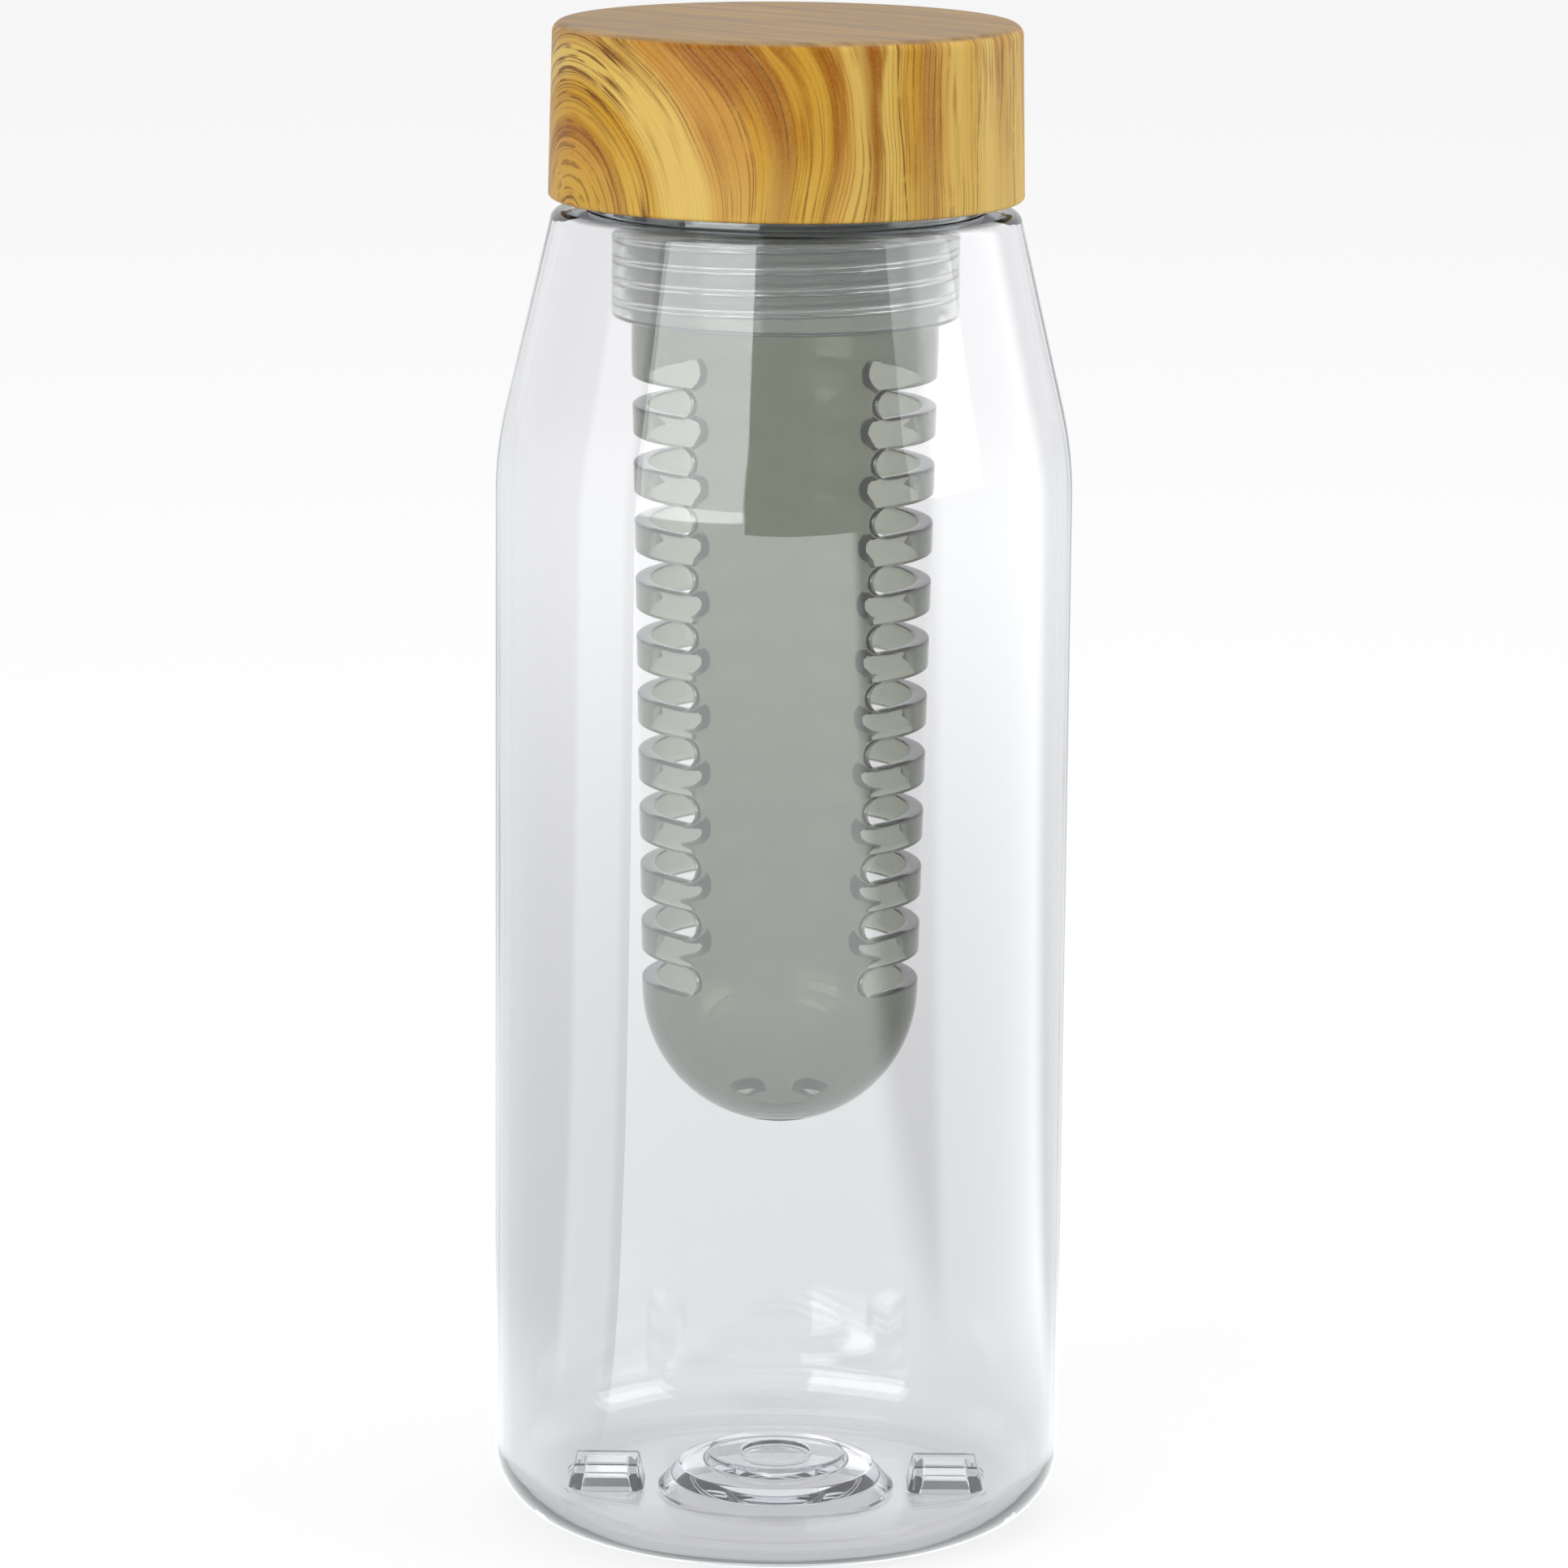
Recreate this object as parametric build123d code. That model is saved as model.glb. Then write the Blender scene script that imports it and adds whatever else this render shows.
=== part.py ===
from build123d import *
import math
import os

# Fruit infuser water bottle, in millimetres. +Z is up, and the origin is the
# middle of the flat ring that the bottle stands on. The slotted sides of the
# basket face +X and -X.

# Bottle body
body_diameter = 76.0
body_wall = 2.0
heel_radius = 8.7
knee_height = 144.0
knee_radius = 50.0
knee_limit_share = 0.45
shoulder_height = 175.7
shoulder_diameter = 61.2
shoulder_radius = 1.6
floor_thickness = 2.6

# Raised middle of the floor: a drafted step, a slope and a flat button
step_diameter = 31.4
step_height = 3.0
step_draft = 2.6
slope_height = 1.2
button_diameter = 18.4
button_height = 0.5
gate_diameter = 9.2
gate_depth = 0.7

# Two locating pockets under the floor, which stand up inside the bottle
pocket_radius = 22.9
pocket_length = 11.2
pocket_width = 9.6
pocket_height = 3.4
pocket_draft = 1.275
pocket_wall = 1.7
pocket_rounding = 1.1

# Neck and its thread
neck_bore = 48.0
neck_wall = 2.0
neck_height = 18.2
neck_rounding = 0.6
ledge_wall = 1.1
neck_pitch = 4.0
neck_turns = 1.25
neck_thread_depth = 1.2
neck_thread_root = 1.9
neck_thread_crest = 1.1
neck_thread_setback = 2.0

# Lid: the seal, the threaded liner and the wood effect shell
lid_seal_thickness = 1.6
liner_wall = 1.45
liner_roof = 1.8
liner_turns = 1.0
liner_thread_root = 1.5
liner_thread_crest = 0.8
liner_lip_width = 0.6
liner_lip_height = 1.8
liner_lip_reach = 0.2
ledge_gap = 1.4
shell_top_diameter = 61.4
shell_bottom_diameter = 62.4
shell_roof = 2.9
shell_top_rounding = 1.5
shell_bottom_rounding = 0.5

# Socket ring that hangs from the lid and takes the basket
socket_diameter = 45.6
socket_wall = 1.4
socket_drop = 14.0
socket_web = 1.8
socket_spigot = 0.8
socket_lead_in = 0.5
socket_turns = 4.0
socket_thread_root = 1.0
socket_thread_crest = 0.5

# Infuser basket
basket_neck_diameter = 40.4
basket_foot_diameter = 36.8
basket_wall = 2.0
basket_rim_drop = 14.0
basket_neck_length = 18.0
basket_length = 122.1
basket_rim_rounding = 0.4
basket_pitch = 2.75
basket_turns = 3.0
basket_thread_depth = 0.85
basket_thread_root = 1.15
basket_thread_crest = 0.6
basket_seal_thickness = 1.0

# Side slots of the basket, in two facing columns
slots_per_side = 11
slot_height = 3.7
slot_pitch = 7.68
slot_sweep = 107.0
top_slot_drop = 23.8

# Drain holes round the tip of the dome
drain_count = 3
drain_ring_radius = 5.6
drain_width = 2.5
drain_sweep = 44.0

# Fits
press_gap = 0.05
running_gap = 0.3
thread_gap = 0.3
thread_bury = 0.4
overrun = 3.0

# Directions, in degrees
front = -90.0
quarter_turn = 90.0
full_turn = 360.0

# Sizes that follow from the ones above
body_radius = body_diameter / 2
shoulder_edge = shoulder_diameter / 2
shoulder_slope = math.atan2(body_radius - shoulder_edge, shoulder_height - knee_height)
pocket_taper = math.degrees(math.atan2(pocket_draft, floor_thickness + pocket_height))
neck_bore_radius = neck_bore / 2
neck_radius = neck_bore_radius + neck_wall
neck_crest = neck_radius + neck_thread_depth
rim_height = shoulder_height + neck_height
neck_thread_top = rim_height - neck_thread_setback
neck_thread_start = neck_thread_top - neck_pitch * neck_turns

liner_bore = neck_crest + thread_gap
liner_crest = neck_radius + thread_gap
liner_radius = liner_bore + liner_wall
liner_ceiling = rim_height + lid_seal_thickness
liner_top = liner_ceiling + liner_roof
liner_bottom = shoulder_height + ledge_gap
shell_bottom = liner_bottom + liner_lip_reach
shell_top = liner_top + shell_roof

socket_radius = socket_diameter / 2
socket_bore = socket_radius - socket_wall
socket_crest = basket_neck_diameter / 2 + thread_gap
socket_bottom = shoulder_height - socket_drop
socket_thread_start = socket_bottom + socket_thread_root / 2 + socket_lead_in / 2

basket_neck = basket_neck_diameter / 2
basket_foot = basket_foot_diameter / 2
basket_rim = socket_bottom + basket_rim_drop
basket_neck_base = basket_rim - basket_neck_length
basket_tip = basket_rim - basket_length
dome_centre = basket_tip + basket_foot
basket_thread_start = socket_thread_start + basket_pitch / 2
socket_web_bottom = basket_rim + basket_seal_thickness
top_slot = basket_rim - top_slot_drop


def turned(outline):
    """Revolve a closed outline of (radius, height) or (radius, height, rounding)."""
    corners = [(point[0], point[1]) for point in outline]
    face = make_face(Polyline(*corners, close=True))
    for point in outline:
        if len(point) > 2:
            corner = Vector(point[0], point[1])
            nearest = face.vertices().sort_by_distance(corner)[0]
            face = fillet(nearest, point[2])
    return revolve(Plane.XZ * face, Axis.Z)


def with_thread(wall, base, tip, root_width, crest_width, pitch, turns, start):
    """The wall with a right-handed ridge from the base radius to the tip radius."""
    buried = base - math.copysign(thread_bury, tip - base)
    section = Polyline(
        (buried, start - root_width / 2),
        (base, start - root_width / 2),
        (tip, start - crest_width / 2),
        (tip, start + crest_width / 2),
        (base, start + root_width / 2),
        (buried, start + root_width / 2),
        close=True,
    )
    for done in range(math.ceil(turns)):
        sweep_angle = min(full_turn, full_turn * (turns - done))
        rise = pitch * sweep_angle / full_turn
        path = Pos(0, 0, start) * Helix(pitch, rise, base)
        ridge = sweep(Plane.XZ * make_face(section), path, is_frenet=True)
        wall += Pos(0, 0, pitch * done) * ridge
    return wall


def floor_line(lift, spread):
    """Outline of the raised middle of the floor, from the outside to the axis."""
    step_edge = step_diameter / 2 + spread
    step_top = step_edge - step_draft
    button_edge = button_diameter / 2 + spread
    gate_edge = gate_diameter / 2 - spread
    slope_top = lift + step_height + slope_height
    return [
        (step_edge, lift),
        (step_top, lift + step_height),
        (button_edge, slope_top),
        (button_edge, slope_top + button_height),
        (gate_edge, slope_top + button_height),
        (gate_edge, slope_top + button_height - gate_depth),
        (0, slope_top + button_height - gate_depth),
    ]


def knee_bend(radius, width, height):
    """The knee's rounding, kept within a share of a slope of that width and height."""
    return min(radius, knee_limit_share * math.hypot(width, height) / math.tan(shoulder_slope / 2))


def pocket_block(length, width, height, rounding):
    """A drafted block with a rounded top, standing on the XY plane."""
    block = extrude(Rectangle(length, width), height, taper=pocket_taper)
    block = fillet(block.edges().filter_by(Axis.Z, reverse=True).group_by(Axis.Z)[1], rounding)
    return fillet(block.edges().group_by(Axis.Z)[-1], rounding / 2)


def bottle_body():
    """Clear blown body with a stepped floor, locating pockets and a threaded neck."""
    inner_radius = body_radius - body_wall
    inner_knee = knee_height - body_wall * math.tan(shoulder_slope / 2)
    inner_ledge = shoulder_height - ledge_wall
    drawn_in = (inner_ledge - knee_height) * math.tan(shoulder_slope)
    inner_edge = body_radius - drawn_in - body_wall / math.cos(shoulder_slope)
    outer_bend = knee_bend(
        knee_radius,
        body_radius - shoulder_edge,
        shoulder_height - knee_height,
    )
    inner_bend = knee_bend(
        knee_radius - body_wall,
        inner_radius - inner_edge,
        inner_ledge - inner_knee,
    )
    outline = [
        (body_radius, 0, heel_radius),
        (body_radius, knee_height, outer_bend),
        (shoulder_edge, shoulder_height, shoulder_radius),
        (neck_radius, shoulder_height),
        (neck_radius, rim_height, neck_rounding),
        (neck_bore_radius, rim_height, neck_rounding),
        (neck_bore_radius, inner_ledge, neck_rounding),
        (inner_edge, inner_ledge, shoulder_radius / 2),
        (inner_radius, inner_knee, inner_bend),
        (inner_radius, floor_thickness, heel_radius - body_wall),
    ]
    outline += floor_line(floor_thickness, press_gap)
    outline += reversed(floor_line(0, 0))
    body = turned(outline)
    lump = pocket_block(pocket_length, pocket_width, floor_thickness + pocket_height, pocket_rounding)
    hollow = pocket_block(
        pocket_length - pocket_wall - pocket_wall,
        pocket_width - pocket_wall - pocket_wall,
        floor_thickness + pocket_height - pocket_wall,
        pocket_rounding / 2,
    )
    for side in (-pocket_radius, pocket_radius):
        body += Pos(side, 0, 0) * lump
    for side in (-pocket_radius, pocket_radius):
        body -= Pos(side, 0, 0) * hollow
    return with_thread(
        body,
        neck_radius,
        neck_crest,
        neck_thread_root,
        neck_thread_crest,
        neck_pitch,
        neck_turns,
        neck_thread_start,
    )


def lid_seal():
    """Silicone ring between the rim of the neck and the ceiling of the liner."""
    inner = socket_radius + running_gap
    outer = liner_bore - running_gap
    return turned([
        (inner, rim_height),
        (outer, rim_height),
        (outer, liner_ceiling),
        (inner, liner_ceiling),
    ])


def lid_liner():
    """Frosted cap with the neck's female thread and a groove for the socket ring."""
    lip_radius = liner_radius + liner_lip_width
    lip_top = liner_bottom + liner_lip_height
    groove_outer = socket_radius + press_gap
    groove_inner = socket_bore - press_gap
    groove_top = liner_ceiling + socket_spigot
    cap = turned([
        (0, liner_ceiling),
        (groove_inner, liner_ceiling),
        (groove_inner, groove_top),
        (groove_outer, groove_top),
        (groove_outer, liner_ceiling),
        (liner_bore, liner_ceiling),
        (liner_bore, liner_bottom),
        (lip_radius, liner_bottom),
        (lip_radius, lip_top),
        (liner_radius, lip_top),
        (liner_radius, liner_top),
        (0, liner_top),
    ])
    return with_thread(
        cap,
        liner_bore,
        liner_crest,
        liner_thread_root,
        liner_thread_crest,
        neck_pitch,
        liner_turns,
        neck_thread_start - neck_pitch / 2,
    )


def lid_shell():
    """Wood effect cover, slightly narrower at the top, pushed over the liner."""
    inner = liner_radius + press_gap
    rebate = inner + liner_lip_width
    rebate_top = liner_bottom + liner_lip_height + press_gap
    return turned([
        (0, liner_top),
        (inner, liner_top),
        (inner, rebate_top),
        (rebate, rebate_top),
        (rebate, shell_bottom),
        (shell_bottom_diameter / 2, shell_bottom, shell_bottom_rounding),
        (shell_top_diameter / 2, shell_top, shell_top_rounding),
        (0, shell_top),
    ])


def infuser_socket():
    """Frosted ring with a closed top chamber and the basket's female thread."""
    web_top = socket_web_bottom + socket_web
    spigot_top = liner_ceiling + socket_spigot
    ring = turned([
        (0, socket_web_bottom),
        (socket_bore, socket_web_bottom),
        (socket_bore, socket_bottom + socket_lead_in),
        (socket_bore + socket_lead_in, socket_bottom),
        (socket_radius, socket_bottom, socket_lead_in),
        (socket_radius, spigot_top),
        (socket_bore, spigot_top),
        (socket_bore, web_top),
        (0, web_top),
    ])
    return with_thread(
        ring,
        socket_bore,
        socket_crest,
        socket_thread_root,
        socket_thread_crest,
        basket_pitch,
        socket_turns,
        socket_thread_start,
    )


def basket_seal():
    """Thin silicone ring between the basket's rim and the socket's web."""
    inner = basket_neck - basket_wall
    return turned([
        (inner, basket_rim),
        (basket_neck, basket_rim),
        (basket_neck, socket_web_bottom),
        (inner, socket_web_bottom),
    ])


def slot_cutter():
    """One side slot with round ends, centred on +X at zero height."""
    near = basket_foot - basket_wall - overrun
    far = basket_neck + overrun
    end_angle = math.degrees(math.asin(slot_height / 2 / basket_foot))
    half_sweep = slot_sweep / 2 - end_angle
    section = Pos((near + far) / 2, 0) * Rectangle(far - near, slot_height)
    band = revolve(Plane.XZ * section, Axis.Z, half_sweep + half_sweep)
    pieces = [Rot(0, 0, -half_sweep) * band]
    for turn in (-half_sweep, half_sweep):
        bar = Cylinder(slot_height / 2, far - near)
        pieces.append(Rot(0, 0, turn) * Pos((near + far) / 2, 0, 0) * Rot(0, quarter_turn, 0) * bar)
    return pieces


def drain_cutter():
    """One curved drain hole in front of the tip of the dome."""
    arc = CenterArc((0, 0), drain_ring_radius, front - drain_sweep / 2, drain_sweep)
    opening = extrude(SlotArc(arc, drain_width), basket_foot)
    return Pos(0, 0, basket_tip - overrun) * opening


def infuser_basket():
    """Smoke tube with a male thread, two columns of slots and a drained dome."""
    inner_neck = basket_neck - basket_wall
    inner_foot = basket_foot - basket_wall
    edges = [
        CenterArc((0, dome_centre), basket_foot, front, quarter_turn),
        Line((basket_foot, dome_centre), (basket_neck, basket_neck_base)),
        Line((basket_neck, basket_neck_base), (basket_neck, basket_rim)),
        Line((basket_neck, basket_rim), (inner_neck, basket_rim)),
        Line((inner_neck, basket_rim), (inner_neck, basket_neck_base)),
        Line((inner_neck, basket_neck_base), (inner_foot, dome_centre)),
        CenterArc((0, dome_centre), inner_foot, front, quarter_turn),
        Line((0, basket_tip + basket_wall), (0, basket_tip)),
    ]
    tube = revolve(Plane.XZ * make_face(edges), Axis.Z)
    rim_edges = tube.edges().filter_by(GeomType.CIRCLE).group_by(Axis.Z)[-1]
    tube = fillet(rim_edges, basket_rim_rounding)
    cutters = []
    for row in range(slots_per_side):
        height = top_slot - row * slot_pitch
        for side in (0, full_turn / 2):
            for piece in slot_cutter():
                cutters.append(Pos(0, 0, height) * Rot(0, 0, side) * piece)
    for hole in range(drain_count):
        cutters.append(Rot(0, 0, hole * full_turn / drain_count) * drain_cutter())
    tube -= cutters
    return with_thread(
        tube,
        basket_neck,
        basket_neck + basket_thread_depth,
        basket_thread_root,
        basket_thread_crest,
        basket_pitch,
        basket_turns,
        basket_thread_start,
    )


def main():
    os.makedirs("parts", exist_ok=True)
    pieces = {
        "bottle_body": bottle_body(),
        "lid_seal": lid_seal(),
        "lid_liner": lid_liner(),
        "lid_shell": lid_shell(),
        "infuser_socket": infuser_socket(),
        "basket_seal": basket_seal(),
        "infuser_basket": infuser_basket(),
    }
    for name, piece in pieces.items():
        export_step(piece, "parts/" + name + ".step")
        print(name, round(piece.volume), "cubic millimetres")


main()
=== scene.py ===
import bpy
import bmesh
import math
import numpy as np
from mathutils import Matrix, Vector


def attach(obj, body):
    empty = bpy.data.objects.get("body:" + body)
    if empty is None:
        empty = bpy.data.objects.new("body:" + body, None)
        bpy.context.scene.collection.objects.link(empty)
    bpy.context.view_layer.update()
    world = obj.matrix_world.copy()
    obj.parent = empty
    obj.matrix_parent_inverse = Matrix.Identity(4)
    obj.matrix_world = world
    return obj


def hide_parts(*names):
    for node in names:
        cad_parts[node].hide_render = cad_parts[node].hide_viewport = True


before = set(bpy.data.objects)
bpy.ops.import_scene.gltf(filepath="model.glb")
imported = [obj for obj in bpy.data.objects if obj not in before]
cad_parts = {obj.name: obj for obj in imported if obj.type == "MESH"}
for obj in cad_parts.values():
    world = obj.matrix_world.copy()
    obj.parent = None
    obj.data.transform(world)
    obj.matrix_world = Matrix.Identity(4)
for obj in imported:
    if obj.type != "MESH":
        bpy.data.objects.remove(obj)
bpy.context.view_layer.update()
print("frame loaded:", ", ".join(sorted(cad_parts)))

mm = 0.001
fullTurn = 2 * math.pi


# An sRGB colour from 0 to 255 as the linear colour that a socket takes.
def paint(red, green, blue):
    srgb = np.array([red, green, blue]) / 255
    linear = np.where(srgb > 0.04045, ((srgb + 0.055) / 1.055) ** 2.4, srgb / 12.92)
    return (*linear.tolist(), 1.0)


# 0 below low, 1 above high, and a soft S curve (3t^2 - 2t^3) between them.
def smoothStep(low, high, value):
    share = np.clip((value - low) / (high - low), 0, 1)
    return share * share * (3 - 2 * share)


# A profile in (radius, height). A corner is (radius, height, rounding, rows): it
# becomes an arc of that rounding, and the run after it is cut into that many rows.
# A long run in one row gets a point near each end, at hold, so that it shades flat.
def roundedProfile(corners, arcSteps=6, hold=0.12):
    places = np.array([corner[:2] for corner in corners], float)
    arcs = []
    for index, corner in enumerate(corners):
        rounding = corner[2] if len(corner) > 2 else 0
        here = places[index]
        if rounding <= 0 or index in (0, len(corners) - 1):
            arcs.append(here[None])
            continue
        back = places[index - 1] - here
        ahead = places[index + 1] - here
        back, ahead = back / np.linalg.norm(back), ahead / np.linalg.norm(ahead)
        half = math.acos(np.clip(back @ ahead, -1, 1)) / 2
        reach = rounding / math.tan(half)
        middle = here + (back + ahead) / np.linalg.norm(back + ahead) * rounding / math.sin(half)
        first = here + back * reach - middle
        last = here + ahead * reach - middle
        swing = math.atan2(first[0] * last[1] - first[1] * last[0], first @ last)
        angles = np.linspace(0, swing, arcSteps + 1)[:, None]
        turned = np.array([-first[1], first[0]])
        arcs.append(middle + np.cos(angles) * first + np.sin(angles) * turned)
    line = [arcs[0]]
    for index in range(1, len(corners)):
        start, end = arcs[index - 1][-1], arcs[index][0]
        rows = corners[index - 1][3] if len(corners[index - 1]) > 3 else 1
        length = np.linalg.norm(end - start)
        shares = np.linspace(0, 1, rows + 1)[1:-1]
        if rows == 1 and length > 4 * hold:
            shares = np.array([hold / length, 1 - hold / length])
        line.append(start + (end - start) * shares[:, None])
        line.append(arcs[index])
    return np.concatenate(line)


# Surface of revolution: every profile point is carried round the axis at the angles.
def turnedGrid(profile, angles):
    radius, height = profile[:, :1], profile[:, 1:]
    ring = np.ones_like(angles)[None]
    return np.stack([radius * np.cos(angles), radius * np.sin(angles), height * ring], axis=-1)


# Ridge of a right-handed screw: within the ridge's width of the helix, a point's
# radius moves from the base towards the tip, over flanks of constant slope. Only
# points close to the base are moved, and each end fades over a part of a turn.
def screwGrid(grid, base, tip, root, crest, pitch, turns, start, close=0.02, fade=0.03):
    radius = np.hypot(grid[..., 0], grid[..., 1])
    angle = np.mod(np.arctan2(grid[..., 1], grid[..., 0]), fullTurn)
    lift = np.zeros_like(radius)
    for turn in range(math.ceil(turns) + 1):
        travelled = angle / fullTurn + turn
        distance = np.abs(grid[..., 2] - start - pitch * travelled)
        ridge = np.clip((root - 2 * distance) / (root - crest), 0, 1)
        ends = smoothStep(0, fade, travelled) * smoothStep(0, fade, turns - travelled)
        lift = np.maximum(lift, ridge * ends)
    lift = lift * (np.abs(radius - base) < close)
    factor = (radius + (tip - base) * lift) / np.maximum(radius, 0.001)  # the axis has radius 0
    grid = grid.copy()
    grid[..., :2] *= factor[..., None]
    return grid


# Neighbouring points of each grid are joined by faces. Points that share a place
# then become one, which closes the seams, the poles and the borders between grids.
def surfaceObject(name, grids, material, body, node, closeness=1.5e-6):
    points, quads, first = [], [], 0
    for grid in grids:
        rows, columns = grid.shape[:2]
        index = np.arange(rows * columns).reshape(rows, columns) + first
        quads.append(np.stack([index[:-1, :-1], index[:-1, 1:], index[1:, 1:], index[1:, :-1]], -1))
        points.append(grid.reshape(-1, 3))
        first += rows * columns
    points = np.concatenate(points) * mm
    quads = np.concatenate([quad.reshape(-1, 4) for quad in quads])
    mesh = bpy.data.meshes.new(name)
    mesh.from_pydata(points.tolist(), [], quads.tolist())
    shape = bmesh.new()
    shape.from_mesh(mesh)
    bmesh.ops.remove_doubles(shape, verts=shape.verts, dist=closeness)
    bmesh.ops.recalc_face_normals(shape, faces=shape.faces)
    shape.to_mesh(mesh)
    shape.free()
    mesh.shade_smooth()
    mesh.materials.append(material)
    piece = bpy.data.objects.new(name, mesh)
    bpy.context.scene.collection.objects.link(piece)
    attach(piece, body)
    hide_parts(node)
    print("made", name, len(mesh.polygons), "faces")
    return piece


# A number for every vertex, worked out from its place in mm, kept for a material: here, where shade is
# painted on the skin.
def markVertices(piece, name, worth):
    places = np.empty(3 * len(piece.data.vertices), np.float32)
    piece.data.vertices.foreach_get("co", places)
    x, y, z = (places.reshape(-1, 3) / mm).T
    paintedShadeMask = piece.data.attributes.new(name, "FLOAT", "POINT")
    paintedShadeMask.data.foreach_set("value", worth(np.hypot(x, y), z).astype(np.float32))


# A node with its settings and inputs; an input that is given a socket is linked.
def addNode(tree, kind, inputs=None, **settings):
    node = tree.nodes.new(kind)
    for key, value in settings.items():
        setattr(node, key, value)
    for socket, value in (inputs or {}).items():
        if isinstance(value, bpy.types.NodeSocket):
            tree.links.new(value, node.inputs[socket])
        else:
            node.inputs[socket].default_value = value
    return node


# Two short forms for a tree: maths gives the result of one operation, and ramped goes
# in a soft S curve from start, at low, to end, at high.
def shortForms(tree):
    def maths(operation, *values):
        return addNode(tree, "ShaderNodeMath", dict(enumerate(values)), operation=operation).outputs["Value"]

    def ramped(value, low, high, start, end):
        return addNode(tree, "ShaderNodeMapRange", {
            "Value": value, "From Min": low, "From Max": high, "To Min": start, "To Max": end},
            interpolation_type="SMOOTHSTEP").outputs["Result"]

    return maths, ramped


# A material with an empty tree.
def newMaterial(name):
    material = bpy.data.materials.new(name)
    material.use_nodes = True
    material.node_tree.nodes.clear()
    return material, material.node_tree


skinLook = {
    "inputs": {"Fine Scale": 900.0, "Wave Scale": 30.0, "Rough Low": 0.02, "Rough High": 0.08},
    "fineSpan": (0.3, 0.7),
    "fineShare": 0.02,
}


# The skin of a moulded plastic: fine grain sets the roughness between two values,
# and a slow waviness with a little of the grain gives the height for a bump.
def makeMouldSkin():
    group = bpy.data.node_groups.new("mouldSkin", "ShaderNodeTree")
    for name, value in skinLook["inputs"].items():
        socket = group.interface.new_socket(name, in_out="INPUT", socket_type="NodeSocketFloat")
        socket.default_value = value
    group.interface.new_socket("Roughness", in_out="OUTPUT", socket_type="NodeSocketFloat")
    group.interface.new_socket("Height", in_out="OUTPUT", socket_type="NodeSocketFloat")
    given = addNode(group, "NodeGroupInput")
    place = addNode(group, "ShaderNodeTexCoord").outputs["Object"]
    fine = addNode(group, "ShaderNodeTexNoise", {
        "Vector": place, "Scale": given.outputs["Fine Scale"], "Detail": 2.0})
    wave = addNode(group, "ShaderNodeTexNoise", {
        "Vector": place, "Scale": given.outputs["Wave Scale"], "Detail": 1.0})
    low, high = skinLook["fineSpan"]
    rough = addNode(group, "ShaderNodeMapRange", {
        "Value": fine.outputs["Fac"], "From Min": low, "From Max": high,
        "To Min": given.outputs["Rough Low"], "To Max": given.outputs["Rough High"]})
    height = addNode(group, "ShaderNodeMath", {
        0: fine.outputs["Fac"], 1: skinLook["fineShare"], 2: wave.outputs["Fac"]},
        operation="MULTIPLY_ADD")
    addNode(group, "NodeGroupOutput", {
        "Roughness": rough.outputs["Result"], "Height": height.outputs["Value"]})
    return group


mouldSkin = makeMouldSkin()

clearLook = {
    "colour": paint(253, 253, 253),
    # painted shade: the clear skin turns this darker colour on the ledge under the lid
    "paintedShade": paint(160, 163, 167),
    "paintedShadeMask": "paintedLedgeShade",
    "ior": 1.56,
    "tint": paint(176, 182, 212),
    "tintDensity": 22.0,
    "rough": 0.008,
    "fineScale": 260.0,
    "waveScale": 34.0,
    "waveDepth": 0.00035,
    "waveStrength": 0.15,
}
smokeLook = {
    "colour": paint(252, 252, 251),
    # painted shade: the smoke skin turns this darker colour on the walls of the slots and drains
    "paintedShade": paint(100, 108, 96),
    "paintedShadeMask": "paintedCutWallShade",
    "ior": 1.5,
    "tint": paint(128, 140, 92),
    "tintDensity": 480.0,
    "rough": 0.02,
    "fineScale": 320.0,
    "waveScale": 60.0,
    "waveDepth": 0.0002,
    "waveStrength": 0.15,
}


# Clear or tinted glassy plastic: a smooth dielectric whose walls absorb light, so
# that edges seen through a long way of plastic are darker. Where the mesh carries a
# painted shade mask from 0 to 1, the skin goes from its colour to a darker painted shade.
def makeGlassyPlastic(name, look):
    material, tree = newMaterial(name)
    skin = addNode(tree, "ShaderNodeGroup", node_tree=mouldSkin)
    for socket, value in (("Fine Scale", look["fineScale"]), ("Wave Scale", look["waveScale"]),
                          ("Rough Low", 0.0), ("Rough High", look["rough"])):
        skin.inputs[socket].default_value = value
    bump = addNode(tree, "ShaderNodeBump", {
        "Height": skin.outputs["Height"], "Distance": look["waveDepth"], "Strength": look["waveStrength"]})
    paintedShadeMask = addNode(tree, "ShaderNodeAttribute", attribute_name=look["paintedShadeMask"])
    colour = addNode(tree, "ShaderNodeMix", {0: paintedShadeMask.outputs["Fac"], 6: look["colour"], 7: look["paintedShade"]},
                     data_type="RGBA")
    shader = addNode(tree, "ShaderNodeBsdfPrincipled", {
        "Base Color": colour.outputs[2], "Roughness": skin.outputs["Roughness"],
        "IOR": look["ior"], "Transmission Weight": 1.0, "Normal": bump.outputs["Normal"]})
    tint = addNode(tree, "ShaderNodeVolumeAbsorption", {
        "Color": look["tint"], "Density": look["tintDensity"]})
    addNode(tree, "ShaderNodeOutputMaterial", {
        "Surface": shader.outputs["BSDF"], "Volume": tint.outputs["Volume"]})
    return material


frostLook = {
    "colour": paint(240, 242, 240),
    "ior": 1.42,
    "transmission": 0.86,
    "grainDepth": 0.00003,
    "grainStrength": 0.3,
    "fineScale": 1500.0,
    "waveScale": 90.0,
    "roughLow": 0.055,
    "roughHigh": 0.1,
}
siliconeLook = {
    "colour": paint(222, 225, 224),
    "ior": 1.41,
    "transmission": 0.35,
    "grainDepth": 0.00005,
    "grainStrength": 0.3,
    "fineScale": 1500.0,
    "waveScale": 90.0,
    "roughLow": 0.45,
    "roughHigh": 0.6,
}


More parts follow.
